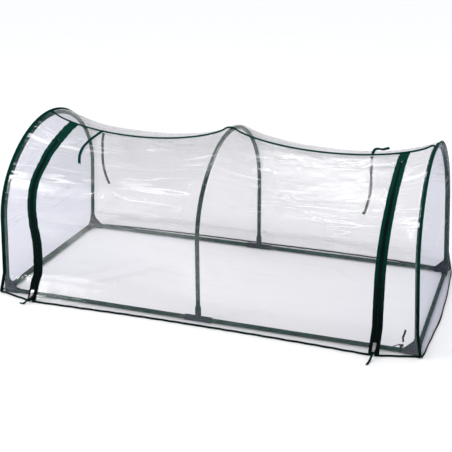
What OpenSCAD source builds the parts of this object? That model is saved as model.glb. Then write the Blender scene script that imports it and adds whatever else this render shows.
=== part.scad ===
// Low tunnel greenhouse: a push-fit tube frame with three hoops under a clear zipped cover.
// Millimetres. Z = 0 is the ground, X runs along the tunnel, and the door faces -Y.

/* [Frame] */
// Length between the two end hoops, axis to axis
frame_length = 1800; // [1500:10:2100]
// Width between the front and back rails, axis to axis
frame_width = 830; // [700:10:900]
// Height of the straight part of each hoop above the rails
spring_height = 333; // [300:1:360]
// Rise of the arch above its straight legs
arch_rise = 360; // [350:1:370]
// Bend radius of the hoop's shoulders
shoulder_radius = 310; // [300:1:320]
// Angle that the taut cover pulls each end hoop inwards
end_lean = 3.2; // [0:0.1:5]

/* [Tubes] */
// Outside diameter of every tube
tube_d = 18; // [16:0.5:19]
// Wall of every tube
tube_wall = 0.8; // [0.6:0.1:1.2]
// Length of the reduced end that plugs into a leg
plug_length = 35; // [25:1:50]
// Clearance round a plug or a tube in its socket, on the radius
socket_clearance = 0.15; // [0.1:0.05:0.3]

/* [Connectors] */
// Outside diameter of the moulded sockets
socket_d = 25; // [23:0.5:27]
// Reach of a corner connector's sockets from the corner
corner_reach = 52; // [45:1:60]
// Reach of a tee's two rail sockets from its centre
tee_reach = 58; // [50:1:65]
// Depth of solid plastic between a connector's centre and a tube's end
socket_stop = 14; // [13:0.5:18]
// Thickness of the gusset webs
web_t = 3; // [2:0.5:4]
// Flat moulded under each connector, cut this deep
foot_cut = 1.5; // [1:0.5:2]

/* [Cover] */
// Modelled thickness of the clear film
film_t = 1; // [0.8:0.1:1.2]
// Gap between a tube and the film stretched over it
film_gap = 1.2; // [1:0.1:1.5]
// How far the top seam sags in the left bay
crown_sag_left = 80; // [50:1:84]
// How far the top seam sags in the right bay
crown_sag_right = 71; // [50:1:80]
// Height above the rails where the film starts to flare into the skirt
skirt_height = 86; // [80:1:100]
// How far the front hem stands out beside the middle hoop
hem_out_middle = 38; // [35:1:45]
// How far the front hem stands out beside the zips
hem_out_zip = 56; // [50:1:65]
// How far the back hem stands out in its middle
hem_out_back = 44; // [35:1:48]
// How far the hem stands out at the corners
hem_out_corner = 12; // [11:1:14]
// How far the left end's skirt stands out in its middle
hem_out_left = 15; // [12:1:40]
// How far the right end's skirt stands out in its middle
hem_out_right = 32; // [20:1:40]
// Width of the end bindings' leg that lies over the hoop
binding_leg = 12; // [8:1:16]
// Height of the film's lower edge above the ground
hem_height = 10; // [9.5:0.5:11]
// Height of a binding standing off an edge
binding_w = 8.5; // [6:0.5:9]
// Thickness of a folded binding
binding_t = 2.6; // [2:0.1:3]
// Height of the piping that stands on the top seam
piping_w = 6; // [5:0.5:8]

/* [Zips] */
// Distance of each zip from the middle hoop
zip_x = 745; // [700:5:770]
// Width of the tape on each side of the zip
tape_w = 18; // [15:1:20]
// Width of each half of the coil
coil_w = 2.65; // [2:0.05:3]
// Length of the slider
slider_length = 26; // [22:1:30]
// Height above the rails where the slider is parked
slider_height = 20; // [15:1:30]

/* [Ties] */
// Width of the tie ribbons
tie_w = 12; // [8:1:14]
// Thickness of the tie ribbons
tie_t = 1.6; // [1.2:0.1:2]
// Width of the ribbon on each zip pull
pull_ribbon_w = 9; // [6:1:10]
// Width of the corner tie's two tails
tail_w = 8; // [4:1:8]

/* [Hidden] */

round_fn = 96;
half_length = frame_length / 2;
half_width = frame_width / 2;
tube_r = tube_d / 2;
tube_bore_r = tube_r - tube_wall;
plug_r = tube_bore_r - socket_clearance;
socket_r = socket_d / 2;
// The rounded corner stands a little proud of its three sockets.
corner_r = socket_r + 0.6;
socket_bore_r = tube_r + socket_clearance;
rail_z = socket_r - foot_cut;

// The arch is a crown arc between two shoulder arcs that meet it tangentially.
shoulder_y = half_width - shoulder_radius;
crown_radius = (pow(shoulder_y, 2) + pow(arch_rise, 2) - pow(shoulder_radius, 2))
    / (2 * (arch_rise - shoulder_radius));
crown_z = spring_height + arch_rise - crown_radius;
crown_half_angle = atan(shoulder_y / (crown_radius - arch_rise));

// Offsets from the hoop's axis to the film, the tapes and the bindings.
film_in = tube_r + film_gap;
film_out = film_in + film_t;
tape_in = film_out + 0.6;
tape_out = tape_in + 1.2;
coil_in = film_in + 0.2;
coil_out = tape_out + 0.7;
panel_inset = 0.3;
fin_in = film_out + panel_inset;
fin_out = fin_in + binding_w;
hem_z = hem_height - rail_z;
seam_half = 2;
front_gap = 4;
zip_gap = coil_w + 0.85;
hoop_flat = 0.02;
sag_power = 0.7;

// Inward sag at mid bay against the angle round the arch (0 crown, 90 spring, 180 rail).
SAG_FRONT_LEFT = [
    [0, crown_sag_left], [20, 88], [40, 56], [60, 3], [90, 20], [120, 45], [150, 28], [165, 0]
];
SAG_FRONT_RIGHT = [[0, crown_sag_right], [25, 95], [45, 80], [65, 45], [90, 0], [120, -10], [165, 0]];
SAG_BACK_LEFT = [[0, crown_sag_left], [30, 60], [60, 30], [90, 15], [130, 25], [165, 0]];
SAG_BACK_RIGHT = [[0, crown_sag_right], [30, 60], [60, 30], [90, 15], [130, 25], [165, 0]];

// Ribbon and string routes, chosen by hand.
LEFT_OUTER_TIE = [
    [-596, -6, 652], [-600, -24, 652], [-608, -60, 644], [-618, -106, 633], [-621, -160, 618],
    [-614, -206, 602], [-600, -243, 586], [-590, -262, 577]
];
LEFT_INNER_TIE = [
    [-600, 0, 640], [-603, -4, 622], [-606, -6, 595], [-606, -8, 565], [-608, -8, 530],
    [-608, -6, 495], [-604, -2, 460], [-597, 2, 428], [-588, 6, 400]
];
RIGHT_OUTER_TIE = [
    [611, 5, 658], [614, 10, 668], [620, 20, 675], [631, 36, 673], [643, 52, 667], [653, 72, 665],
    [662, 90, 664], [660, 112, 658], [656, 134, 651]
];
RIGHT_INNER_TIE = [
    [610, 0, 649], [611, -4, 630], [611, -6, 600], [612, -6, 565], [613, -6, 530],
    [611, -8, 495], [607, -12, 460], [600, -18, 430], [590, -24, 402]
];
LEFT_PULL_RIBBON = [
    [-745, -495, 26], [-750, -504, 19], [-757, -510, 12], [-766, -513, 5], [-776, -511, 3], [-786, -505, 3]
];
RIGHT_PULL_RIBBON = [
    [745, -495, 26], [744, -506, 20], [742, -518, 13], [740, -530, 6], [737, -543, 3], [734, -558, 3]
];
CORNER_TAIL_UP = [
    [842, -400, 39], [844, -402, 48], [842, -404, 58], [845, -402, 70], [848, -400, 82], [849, -398, 92]
];
CORNER_TAIL_SIDE = [
    [832, -398, 26], [823, -396, 21], [812, -396, 15], [799, -397, 9], [786, -398, 4], [773, -398, 3]
];

// ---- Functions ----

function unit(v) = v / norm(v);
function reversed(list) = [for (i = [len(list) - 1:-1:0]) list[i]];
function is_left(x) = x < 0;

// The hoops' planes turn evenly from one end to the other: u is -1 at the left hoop and 1 at the right.
function u_at(x, h) = x / (half_length - h * sin(end_lean));

// 0 over a hoop and 1 midway between two hoops.
function bay_shape(u) =
    let (w = (min(abs(u), 1) - hoop_flat) / (1 - 2 * hoop_flat))
    let (c = max(0, min(1, w)))
    pow(4 * c * (1 - c), sag_power);

// A station is [girth angle, normal y, normal z, y, height above the rails, share of the skirt's flare].
function arch_station(a) = a <= crown_half_angle
    ? [a, sin(a), cos(a), crown_radius * sin(a), crown_z + crown_radius * cos(a), 0]
    : [a, sin(a), cos(a), shoulder_y + shoulder_radius * sin(a), spring_height + shoulder_radius * cos(a), 0];
function wall_station(h) = [
    90 + 90 * (1 - h / spring_height), 1, 0, half_width, h,
    max(0, (skirt_height - h) / (skirt_height - hem_z))
];
SKIRT_STATIONS = [for (f = [0, 0.5, 1]) wall_station(skirt_height + f * (hem_z - skirt_height))];
WALL_STATIONS = [for (f = [0.25, 0.5, 0.75]) wall_station(spring_height + f * (skirt_height - spring_height))];
SEAM_STATION = arch_station(0);
STATIONS = concat([for (a = [7.5:7.5:90]) arch_station(a)], WALL_STATIONS, SKIRT_STATIONS);

// A sheet starts this far from the seam's centre line and runs down to the hem.
function stations_from(gap) = concat([arch_station(asin(gap / crown_radius))], STATIONS);
BACK_STATIONS = stations_from(seam_half);
FRONT_STATIONS = stations_from(front_gap);
HEM = STATIONS[len(STATIONS) - 1];
BEFORE_HEM = STATIONS[len(STATIONS) - 2];

function sag_at(girth, x, side) = side > 0
    ? lookup(girth, is_left(x) ? SAG_BACK_LEFT : SAG_BACK_RIGHT)
    : lookup(girth, is_left(x) ? SAG_FRONT_LEFT : SAG_FRONT_RIGHT);
zip_u = zip_x / half_length;
function front_out(u) = abs(u) < zip_u
    ? hem_out_middle + (hem_out_zip - hem_out_middle) * pow(abs(u) / zip_u, 2)
    : hem_out_zip + (hem_out_corner - hem_out_zip) * (min(1, abs(u)) - zip_u) / (1 - zip_u);
function back_out(u) = hem_out_back + (hem_out_corner - hem_out_back) * pow(min(1, abs(u)), 4);
function hem_out(u, side) = side > 0 ? back_out(u) : front_out(u);
function end_out(sign, c) =
    let (middle = sign < 0 ? hem_out_left : hem_out_right)
    middle + (hem_out_corner - middle) * c * c;

// A point on the cover at x, at a station, on side -1 (front) or 1 (back), off from the hoop's axis.
function cover_point(x, st, side, off) =
    let (u = u_at(x, st[4]))
    let (d = off - sag_at(st[0], x, side) * bay_shape(u))
    let (y = st[3] + st[1] * d + st[5] * hem_out(u, side))
    let (h = st[4] + st[2] * d)
    [x, side * y, rail_z + h * cos(end_lean * u)];

// Where the cover ends along X at a station: just outside the end panel.
function edge_x(st, off) = half_length - (st[4] + st[2] * film_in) * sin(end_lean) + off + st[5] * hem_out_corner;

// Columns of points along X, closer together beside the hoops so that the film clears the tubes.
COLUMNS = [0, 0.014, 0.08, 0.18, 0.3, 0.42, 0.54, 0.66, 0.78, 0.88];
beside_hoop = 54;
over_hoop = 26;
function mirrored(list) = concat([for (x = reversed(list)) -x], [for (i = [1:len(list) - 1]) list[i]]);
function to_edge(edge) = [edge - beside_hoop, edge - over_hoop, edge - binding_leg, edge];
function full_columns(edge) = mirrored(concat([for (f = COLUMNS) f * edge], to_edge(edge)));
door_half = zip_x - zip_gap;
DOOR_COLUMNS = mirrored(concat([for (f = COLUMNS) f * door_half], [door_half - tape_w, door_half]));
strip_start = zip_x + zip_gap;
function strip_columns(st, sign) =
    [for (x = concat([strip_start, strip_start + tape_w], to_edge(edge_x(st, film_out)))) sign * x];

// Rings for a sheet between two offsets: each ring is one station's row, outside then back along the inside.
function sheet_ring(xs, st, side, near, far) = concat(
    [for (x = xs) cover_point(x, st, side, far)],
    reversed([for (x = xs) cover_point(x, st, side, near)])
);

// ---- General modules ----

// Closed solid through a list of rings with the same even number of points.
// Both halves of a ring are split along the same diagonals, so the two sides of a thin sheet stay apart.
module loft(rings) {
    n = len(rings[0]);
    m = len(rings);
    points = [for (ring = rings) each ring];
    walls = [
        for (r = [0:m - 2], k = [0:n - 1])
        let (a = r * n + k, b = r * n + (k + 1) % n)
        each k < n / 2 ? [[a, b, b + n], [a, b + n, a + n]] : [[a, b, a + n], [b, b + n, a + n]]
    ];
    caps = [
        for (k = [0:n / 2 - 2])
        let (a = k, b = k + 1, c = n - 2 - k, d = n - 1 - k, last = (m - 1) * n)
        each [[a, c, b], [a, d, c], [last + a, last + b, last + c], [last + a, last + c, last + d]]
    ];
    faces = concat(walls, caps);
    signed = [for (f = faces) cross(points[f[0]], points[f[1]]) * points[f[2]]];
    volume = signed * [for (s = signed) 1];
    polyhedron(points, volume > 0 ? [for (f = faces) reversed(f)] : faces);
}

// Flat ribbon or round string swept along a route, as wide as width across the given direction.
module ribbon(route, width, thickness, across) {
    sides = 8;
    last = len(route) - 1;
    rings = [
        for (i = [0:last])
        let (ahead = unit(route[min(last, i + 1)] - route[max(0, i - 1)]))
        let (up = unit(cross(ahead, across)))
        let (wide = unit(cross(up, ahead)))
        [for (k = [0:sides - 1])
            let (a = (k + 0.5) * 360 / sides)
            route[i] + wide * (width / 2 / cos(22.5)) * cos(a) + up * (thickness / 2 / sin(67.5)) * sin(a)]
    ];
    loft(rings);
}

// Bent tube in the YZ plane: from and to are angles about the bend's centre, from +Y towards +Z.
module bent_tube(radius, from, to, outer, bore) {
    rotate([90, 0, 90])
        rotate([0, 0, from])
            rotate_extrude(angle = to - from, $fn = 4 * round_fn)
                translate([radius, 0])
                    difference() {
                        circle(outer, $fn = round_fn);
                        circle(bore, $fn = round_fn);
                    }
}

module straight_tube(length, outer, bore) {
    difference() {
        cylinder(h = length, r = outer, $fn = round_fn);
        translate([0, 0, -1]) cylinder(h = length + 2, r = bore, $fn = round_fn);
    }
}

// ---- Tubes ----

module rail_x(from, to, y) {
    translate([from, y, rail_z])
        rotate([0, 90, 0])
            straight_tube(to - from, tube_r, tube_bore_r);
}

module rail_y(x) {
    near = socket_stop + socket_clearance;
    translate([x, -half_width + near, rail_z])
        rotate([-90, 0, 0])
            straight_tube(frame_width - 2 * near, tube_r, tube_bore_r);
}

module front_rail(sign) { color("darkgreen") half_rail(sign, -half_width); }
module back_rail(sign) { color("darkgreen") half_rail(sign, half_width); }
module end_rail(sign) { color("darkgreen") rail_y(sign * half_length); }

// Half of a long rail, from the tee to a corner.
module half_rail(sign, y) {
    near = socket_stop + socket_clearance;
    far = half_length - near;
    rail_x(sign < 0 ? -far : near, sign < 0 ? -near : far, y);
}

// Leg on the +Y side: a straight length, then the whole shoulder bend.
module hoop_leg() {
    foot = socket_stop + socket_clearance;
    translate([0, half_width, foot])
        straight_tube(spring_height - foot, tube_r, tube_bore_r);
    translate([0, shoulder_y, spring_height])
        bent_tube(shoulder_radius, 0, 90 - crown_half_angle, tube_r, tube_bore_r);
}

// Reduced end that follows the leg's bend, and starts a little way inside the arch's own wall.
module arch_plug() {
    top = 90 - crown_half_angle;
    plug_angle = plug_length / shoulder_radius * 180 / PI;
    root_angle = plug_angle / 8;
    translate([0, shoulder_y, spring_height])
        bent_tube(shoulder_radius, top - plug_angle, top + root_angle, plug_r, plug_r - tube_wall);
}

module hoop_arch() {
    arch_bore_r = plug_r - tube_wall / 2;
    arch_plug();
    mirror([0, 1, 0]) arch_plug();
    translate([0, 0, crown_z])
        bent_tube(crown_radius, 90 - crown_half_angle, 90 + crown_half_angle, tube_r, arch_bore_r);
}

// u is -1, 0 or 1 for the left, middle or right hoop.
module on_hoop(u) {
    translate([half_length * u, 0, rail_z])
        rotate([0, -end_lean * u, 0])
            children();
}

module back_leg(u) { color("darkgreen") on_hoop(u) hoop_leg(); }
module front_leg(u) { color("darkgreen") on_hoop(u) mirror([0, 1, 0]) hoop_leg(); }
module arch(u) { color("darkgreen") on_hoop(u) hoop_arch(); }

// ---- Connectors ----

// Socket pointing along +Z from the connector's centre.
module socket_body(reach) { cylinder(h = reach, r = socket_r, $fn = round_fn); }
module socket_bore(reach) {
    translate([0, 0, socket_stop]) cylinder(h = reach, r = socket_bore_r, $fn = round_fn);
}

// Triangular web in the XZ plane, filling the corner between two arms.
module web(reach) {
    inset = socket_r - 1;
    rotate([90, 0, 0])
        translate([0, 0, -web_t / 2])
            linear_extrude(web_t)
                polygon([[inset, inset], [reach - 2, inset], [inset, reach - 2]]);
}

module foot_plane() {
    size = 3 * tee_reach;
    translate([-size / 2, -size / 2, -rail_z - 20]) cube([size, size, 20]);
}

// Corner for the +X, +Y quarter of the tunnel, arms along -X, -Y and up.
module corner_connector() {
    difference() {
        union() {
            sphere(r = corner_r, $fn = round_fn);
            rotate([0, -90, 0]) socket_body(corner_reach);
            rotate([90, 0, 0]) socket_body(corner_reach);
            rotate([0, -end_lean, 0]) socket_body(corner_reach);
            rotate([0, 0, 180]) web(corner_reach);
            rotate([0, 0, -90]) web(corner_reach);
        }
        rotate([0, -90, 0]) socket_bore(corner_reach);
        rotate([90, 0, 0]) socket_bore(corner_reach);
        rotate([0, -end_lean, 0]) socket_bore(corner_reach);
        foot_plane();
    }
}

module corner(sign_x, sign_y) {
    color("slategray")
        translate([sign_x * half_length, sign_y * half_width, rail_z])
            mirror([sign_x < 0 ? 1 : 0, 0, 0])
                mirror([0, sign_y < 0 ? 1 : 0, 0])
                    corner_connector();
}

module tee(sign_y) {
    color("slategray")
        translate([0, sign_y * half_width, rail_z])
            difference() {
                union() {
                    rotate([0, 90, 0]) translate([0, 0, -tee_reach]) socket_body(2 * tee_reach);
                    socket_body(corner_reach);
                }
                rotate([0, 90, 0]) socket_bore(tee_reach);
                rotate([0, -90, 0]) socket_bore(tee_reach);
                socket_bore(corner_reach);
                foot_plane();
            }
}

// ---- Clear cover ----

module roof_and_back_panel() {
    color("lightcyan", 0.4)
        loft([for (st = BACK_STATIONS) sheet_ring(full_columns(edge_x(st, film_out)), st, 1, film_in, film_out)]);
}

module door_panel() {
    color("lightcyan", 0.4)
        loft([for (st = FRONT_STATIONS) sheet_ring(DOOR_COLUMNS, st, -1, film_in, film_out)]);
}

module front_strip(sign) {
    color("lightcyan", 0.4)
        loft([for (st = FRONT_STATIONS) sheet_ring(strip_columns(st, sign), st, -1, film_in, film_out)]);
}

// Height and half width of the end panel's outline at a station.
function outline_y(st) = st[3] + st[1] * (film_in - panel_inset) + st[5] * hem_out_corner;
function outline_h(st) = st[4] + st[2] * (film_in - panel_inset);
function end_point(sign, c, st, off) = [
    sign * (half_length - outline_h(st) * sin(end_lean) + off + st[5] * end_out(sign, c)),
    c * outline_y(st),
    rail_z + outline_h(st) * cos(end_lean)
];
END_COLUMNS = [-1, -0.8, -0.6, -0.4, -0.2, 0, 0.2, 0.4, 0.6, 0.8, 1];

module end_panel(sign) {
    color("lavender", 0.5)
        loft([
            for (st = STATIONS)
            concat(
                [for (c = END_COLUMNS) end_point(sign, c, st, film_out)],
                reversed([for (c = END_COLUMNS) end_point(sign, c, st, film_in)])
            )
        ]);
}

// ---- Bindings ----

// Tape sewn over an end of the cover: a leg lies on the film over the hoop, a fin stands along the edge.
function binding_ring(sign, st, side) =
    let (edge = edge_x(st, film_out), inner = edge - binding_leg, fold = edge - binding_t)
    let (low = fin_in, skin = fin_in + tape_out - tape_in)
    [
        for (p = [[inner, skin], [fold, skin], [fold, fin_out], [edge, fin_out], [edge, low], [inner, low]])
        cover_point(sign * p[0], st, side, p[1])
    ];

module end_binding(sign) {
    color("darkgreen")
        loft(concat(
            [for (st = reversed(STATIONS)) binding_ring(sign, st, -1)],
            [binding_ring(sign, SEAM_STATION, 1)],
            [for (st = STATIONS) binding_ring(sign, st, 1)]
        ));
}

module top_seam_piping() {
    reach = edge_x(SEAM_STATION, film_out) - binding_leg - panel_inset;
    half_t = [0, binding_t / 2, 0];
    color("darkgreen")
        loft([
            for (x = full_columns(reach))
            let (low = cover_point(x, SEAM_STATION, 1, film_in))
            let (high = cover_point(x, SEAM_STATION, 1, film_out + piping_w))
            [low - half_t, low + half_t, high + half_t, high - half_t]
        ]);
}

// Four corners of a folded band that runs on below an edge: p is on the edge, before is just above it.
function band_ring(p, before, along) =
    let (down = unit(p - before))
    let (thick = unit(cross(down, along)) * binding_t / 2)
    let (start = p + down * panel_inset, end = p + down * (panel_inset + binding_w))
    [start - thick, start + thick, end + thick, end - thick];

film_middle = (film_in + film_out) / 2;
module long_hem(xs, side) {
    color("darkgreen")
        loft([
            for (x = xs)
            band_ring(cover_point(x, HEM, side, film_middle), cover_point(x, BEFORE_HEM, side, film_middle), [1, 0, 0])
        ]);
}

hem_stop = edge_x(HEM, film_out) - binding_t - 1;
module back_hem() { long_hem([for (f = [-1:0.05:1]) f * hem_stop], 1); }
module door_hem() { long_hem([for (f = [-1:0.1:1]) f * door_half], -1); }
module front_hem(sign) {
    long_hem([for (f = [0, 0.33, 0.66, 1]) sign * (strip_start + f * (hem_stop - strip_start))], -1);
}

module end_hem(sign) {
    color("darkgreen")
        loft([
            for (c = END_COLUMNS)
            band_ring(
                end_point(sign, c, HEM, film_middle),
                end_point(sign, c, BEFORE_HEM, film_middle),
                [0, 1, 0]
            )
        ]);
}

// ---- Zips ----

function zip_columns(sign, part) = part == "tape"
    ? [sign * (zip_x + coil_w + 0.35), sign * (zip_x + coil_w + 0.35 + tape_w)]
    : [sign * (zip_x + 0.15), sign * (zip_x + 0.15 + coil_w)];
function door_side(xs, sign) = [for (x = xs) sign * (2 * zip_x - abs(x))];

module zip_strip(xs, near, far) {
    loft([for (st = FRONT_STATIONS) sheet_ring(xs, st, -1, near, far)]);
}
module cover_tape(sign) { color("seagreen") zip_strip(zip_columns(sign, "tape"), tape_in, tape_out); }
module door_tape(sign) { color("seagreen") zip_strip(door_side(zip_columns(sign, "tape"), sign), tape_in, tape_out); }
module cover_coil(sign) { color("black") zip_strip(zip_columns(sign, "coil"), coil_in, coil_out); }
module door_coil(sign) { color("black") zip_strip(door_side(zip_columns(sign, "coil"), sign), coil_in, coil_out); }

// The slider is parked on the skirt, which is straight there.
skirt_tilt = atan(front_out(zip_u) / (skirt_height - hem_z));
slider_w = 13;
slider_plate = 2.2;
slider_lift = coil_out + 0.5;
pin_r = 1.5;
pin_rise = 3.4;
pin_z = slider_plate + pin_rise;
ear_t = 2;
tab_half = 2.9;
park = cover_point(zip_x, wall_station(slider_height), -1, 0);

// Local frame on the zip at the parked slider: +Z outwards from the film, +Y up along the zip.
module at_slider(sign) {
    translate([sign * zip_x, park[1], park[2]])
        rotate([90 - skirt_tilt, 0, 0])
            translate([0, 0, slider_lift])
                children();
}

module slider(sign) {
    color("silver") at_slider(sign) {
        difference() {
            translate([-slider_w / 2, -slider_length / 2, -0.9]) cube([slider_w, slider_length, slider_plate + 0.9]);
            translate([-coil_w - 0.8, -slider_length, -2]) cube([2 * coil_w + 1.6, 2 * slider_length, 2]);
        }
        for (s = [-1, 1])
            translate([s * (tab_half + 0.3 + ear_t / 2), 0, 0])
                rotate([0, 90, 0])
                    translate([0, 0, -ear_t / 2])
                        linear_extrude(ear_t)
                            union() {
                                translate([-pin_z, 0]) circle(3, $fn = round_fn);
                                translate([-pin_z, -3]) square([pin_z, 6]);
                            }
        translate([-tab_half - 0.3 - ear_t, 0, pin_z])
            rotate([0, 90, 0])
                cylinder(h = 2 * (tab_half + 0.3 + ear_t), r = pin_r, $fn = round_fn);
    }
}

// The pull hangs from the slider's pin, lifted a little off the skirt.
pull_length = 24;
pull_lift = 20;
pull_bore_r = pin_r + 0.07;
module at_pull(sign) {
    at_slider(sign)
        translate([0, 0, pin_z])
            rotate([-pull_lift, 0, 0])
                children();
}

module pull(sign) {
    eye_r = 2.9;
    color("silver") at_pull(sign)
        difference() {
            union() {
                rotate([0, 90, 0]) cylinder(h = 2 * tab_half, r = eye_r, center = true, $fn = round_fn);
                translate([-tab_half, -pull_length, -0.8]) cube([2 * tab_half, pull_length, 1.6]);
                translate([-5, -pull_length, -0.8]) cube([10, 9, 1.6]);
            }
            rotate([0, 90, 0]) cylinder(h = 3 * tab_half, r = pull_bore_r, center = true, $fn = round_fn);
            translate([-3.5, -pull_length + 2, -2]) cube([7, 3, 4]);
        }
}

module pull_ribbon(sign) {
    route = sign < 0 ? LEFT_PULL_RIBBON : RIGHT_PULL_RIBBON;
    color("darkgreen") ribbon(route, pull_ribbon_w, tie_t, [1, 0, 0]);
}

// ---- Ties ----

module tie(route, across) { color("darkgreen") ribbon(route, tie_w, tie_t, across); }
module corner_tail(route, across) { color("darkgreen") ribbon(route, tail_w, tie_t, across); }

// Band round the front rail with a knot on top.
module corner_tie_loop() {
    color("darkgreen") translate([838, -half_width, rail_z]) {
        rotate([0, 90, 0])
            difference() {
                cylinder(h = 7, r = tube_r + 1.5, center = true, $fn = round_fn);
                cylinder(h = 9, r = tube_r + 0.2, center = true, $fn = round_fn);
            }
        translate([0, 8, 12]) sphere(r = 5.5, $fn = round_fn);
    }
}

corner(-1, -1);  // corner_connector_front_left
corner(1, -1);  // corner_connector_front_right
corner(-1, 1);  // corner_connector_back_left
corner(1, 1);  // corner_connector_back_right
tee(-1);  // tee_connector_front
tee(1);  // tee_connector_back
front_rail(-1);  // front_rail_left
front_rail(1);  // front_rail_right
back_rail(-1);  // back_rail_left
back_rail(1);  // back_rail_right
end_rail(-1);  // end_rail_left
end_rail(1);  // end_rail_right
front_leg(-1);  // left_hoop_front_leg
arch(-1);  // left_hoop_arch
back_leg(-1);  // left_hoop_back_leg
front_leg(0);  // middle_hoop_front_leg
arch(0);  // middle_hoop_arch
back_leg(0);  // middle_hoop_back_leg
front_leg(1);  // right_hoop_front_leg
arch(1);  // right_hoop_arch
back_leg(1);  // right_hoop_back_leg
roof_and_back_panel();
front_strip(-1);  // front_strip_left
front_strip(1);  // front_strip_right
end_panel(-1);  // end_panel_left
end_panel(1);  // end_panel_right
door_panel();
end_binding(-1);  // end_binding_left
end_binding(1);  // end_binding_right
top_seam_piping();
back_hem();
end_hem(-1);  // end_hem_left
end_hem(1);  // end_hem_right
front_hem(-1);  // front_hem_left
front_hem(1);  // front_hem_right
door_hem();
cover_tape(-1);  // left_zip_cover_tape
door_tape(-1);  // left_zip_door_tape
cover_coil(-1);  // left_zip_cover_coil
door_coil(-1);  // left_zip_door_coil
slider(-1);  // left_zip_slider
pull(-1);  // left_zip_pull
pull_ribbon(-1);  // left_pull_ribbon
cover_tape(1);  // right_zip_cover_tape
door_tape(1);  // right_zip_door_tape
cover_coil(1);  // right_zip_cover_coil
door_coil(1);  // right_zip_door_coil
slider(1);  // right_zip_slider
pull(1);  // right_zip_pull
pull_ribbon(1);  // right_pull_ribbon
tie(LEFT_OUTER_TIE, [1, 0, -0.4]);  // left_outer_tie
tie(LEFT_INNER_TIE, [1, 0, 0]);  // left_inner_tie
tie(RIGHT_OUTER_TIE, [-1, 0.6, 1]);  // right_outer_tie
tie(RIGHT_INNER_TIE, [1, 0, 0]);  // right_inner_tie
corner_tie_loop();
corner_tail(CORNER_TAIL_UP, [1, 0, 0]);  // corner_tie_tail_up
corner_tail(CORNER_TAIL_SIDE, [0, 1, 0]);  // corner_tie_tail_side
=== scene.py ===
"""Low tunnel greenhouse with a clear wrinkled cover, seen from its front right corner."""
import math

import bpy
import numpy as np
from mathutils import Matrix, Vector, noise


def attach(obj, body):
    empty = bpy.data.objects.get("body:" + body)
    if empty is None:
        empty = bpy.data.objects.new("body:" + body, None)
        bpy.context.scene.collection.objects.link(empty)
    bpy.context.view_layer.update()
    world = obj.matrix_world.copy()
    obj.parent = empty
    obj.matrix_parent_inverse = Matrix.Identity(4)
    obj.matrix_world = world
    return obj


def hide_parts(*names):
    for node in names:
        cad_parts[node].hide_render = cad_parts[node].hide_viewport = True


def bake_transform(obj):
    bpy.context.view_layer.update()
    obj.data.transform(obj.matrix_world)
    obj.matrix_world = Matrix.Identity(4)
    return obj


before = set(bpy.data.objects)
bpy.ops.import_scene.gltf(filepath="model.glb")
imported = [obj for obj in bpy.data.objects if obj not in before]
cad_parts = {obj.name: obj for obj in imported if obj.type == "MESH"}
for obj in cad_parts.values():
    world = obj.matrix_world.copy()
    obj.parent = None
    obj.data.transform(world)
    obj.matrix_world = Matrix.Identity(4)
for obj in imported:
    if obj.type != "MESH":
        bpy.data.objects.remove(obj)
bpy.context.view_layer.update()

# ---------------------------------------------------------------- measures of the CAD frame, in metres

HALF_LENGTH = 0.9
HALF_WIDTH = 0.415
SPRING = 0.333
SHOULDER_R = 0.31
ARCH_RISE = 0.36
LEAN = math.radians(3.2)
RAIL_Z = 0.011
FILM_IN = 0.0102
FILM_OUT = 0.0112
FILM_MID = (FILM_IN + FILM_OUT) / 2
FILM_T = FILM_OUT - FILM_IN
TAPE_MID = 0.0124
TAPE_T = 0.0012
COIL_MID = 0.0124
FIN_IN = 0.0115
FIN_OUT = 0.020
PANEL_INSET = 0.0003
PIPING_TOP = 0.0182
BAND_T = 0.0024
HEM_T = 0.0034
BINDING_LEG = 0.012
LEG_T = 0.0012
SKIRT = 0.086
HEM_Z = -0.001
HEM_MIDDLE = 0.038
HEM_ZIP = 0.056
HEM_BACK = 0.044
HEM_CORNER = 0.012
ZIP_X = 0.745
ZIP_GAP = 0.0035
COIL_W = 0.00265
TAPE_W = 0.018
SEAM_HALF = 0.002
FRONT_GAP = 0.004
HOOP_FLAT = 0.02
SAG_POWER = 0.7
LEFT, RIGHT = -1, 1
SIDES = ((LEFT, "left"), (RIGHT, "right"))
FRONT, BACK = -1, 1
HEM_END = {LEFT: 0.015, RIGHT: 0.032}
# Girth angle of each zip's top stop: the coil starts there, and the tapes meet above it.
ZIP_STOP = {LEFT: 24.0, RIGHT: 13.0}

SHOULDER_Y = HALF_WIDTH - SHOULDER_R
CROWN_R = (SHOULDER_Y ** 2 + ARCH_RISE ** 2 - SHOULDER_R ** 2) / (2 * (ARCH_RISE - SHOULDER_R))
CROWN_Z = SPRING + ARCH_RISE - CROWN_R
CROWN_ANGLE = math.degrees(math.atan2(SHOULDER_Y, CROWN_R - ARCH_RISE))
ZIP_U = ZIP_X / HALF_LENGTH

# Sag in the middle of a bay against the girth angle: 0 crown, 90 top of the straight wall, 180 rail.
SAG = {
    (FRONT, LEFT): (
        (0, 0.080), (20, 0.088), (40, 0.056), (60, 0.003), (90, 0.02), (120, 0.045), (150, 0.028), (165, 0)),
    (FRONT, RIGHT): ((0, 0.071), (25, 0.095), (45, 0.08), (65, 0.045), (90, 0), (120, -0.01), (165, 0)),
    (BACK, LEFT): ((0, 0.080), (30, 0.06), (60, 0.03), (90, 0.015), (130, 0.025), (165, 0)),
    (BACK, RIGHT): ((0, 0.071), (30, 0.06), (60, 0.03), (90, 0.015), (130, 0.025), (165, 0)),
}

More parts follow.
